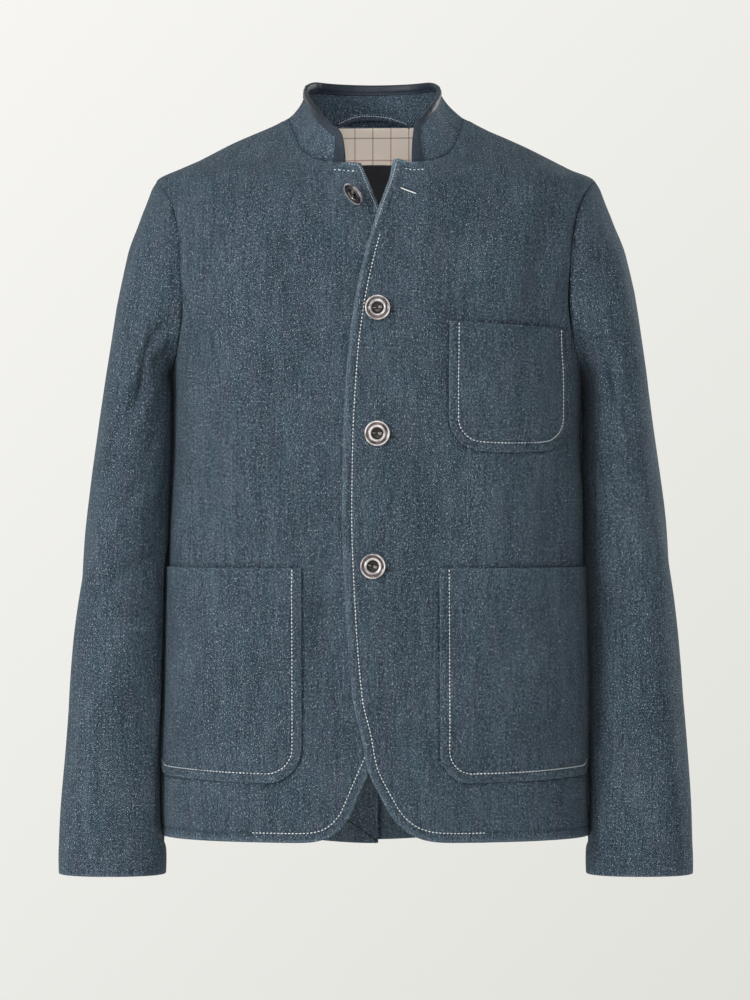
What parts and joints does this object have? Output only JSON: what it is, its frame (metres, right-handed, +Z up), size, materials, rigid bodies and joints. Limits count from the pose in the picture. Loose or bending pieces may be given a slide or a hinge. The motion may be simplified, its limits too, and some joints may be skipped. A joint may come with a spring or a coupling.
{
  "type": "worn denim jacket",
  "caption": "Denim work jacket with a leather-bound stand collar, patch pockets, dished buttons and a back vent, filled out as worn with no wearer",
  "frame": {"origin": "middle of the neck, level with the shoulder seams, where the wearer holds it up", "axes": "+Z up, the jacket faces -Y, the wearer's left side is +X"},
  "size_m": [0.6136, 0.2413, 0.7708],
  "materials": {
    "denim": "slubby blue-grey indigo denim twill, matt",
    "leather_binding": "dark navy smooth leather, soft sheen",
    "lining_check": "beige cotton with a fine brown and rose windowpane check",
    "label_black": "black woven label, bare",
    "button": "dished two-hole button, pale polished rim and dark bowl"
  },
  "bodies": {
    "root": {"front_left": "denim", "front_right": "denim", "back_left": "denim", "back_right": "denim", "sleeve_left": "denim", "sleeve_right": "denim", "collar": "denim", "hanger_loop": "denim", "chest_pocket": "denim", "hip_pocket_left": "denim", "hip_pocket_right": "denim", "collar_binding": "leather_binding", "back_neck_lining": "lining_check", "label": "label_black", "button_1": "button", "button_2": "button", "button_3": "button", "button_4": "button"}
  },
  "joints": []
}
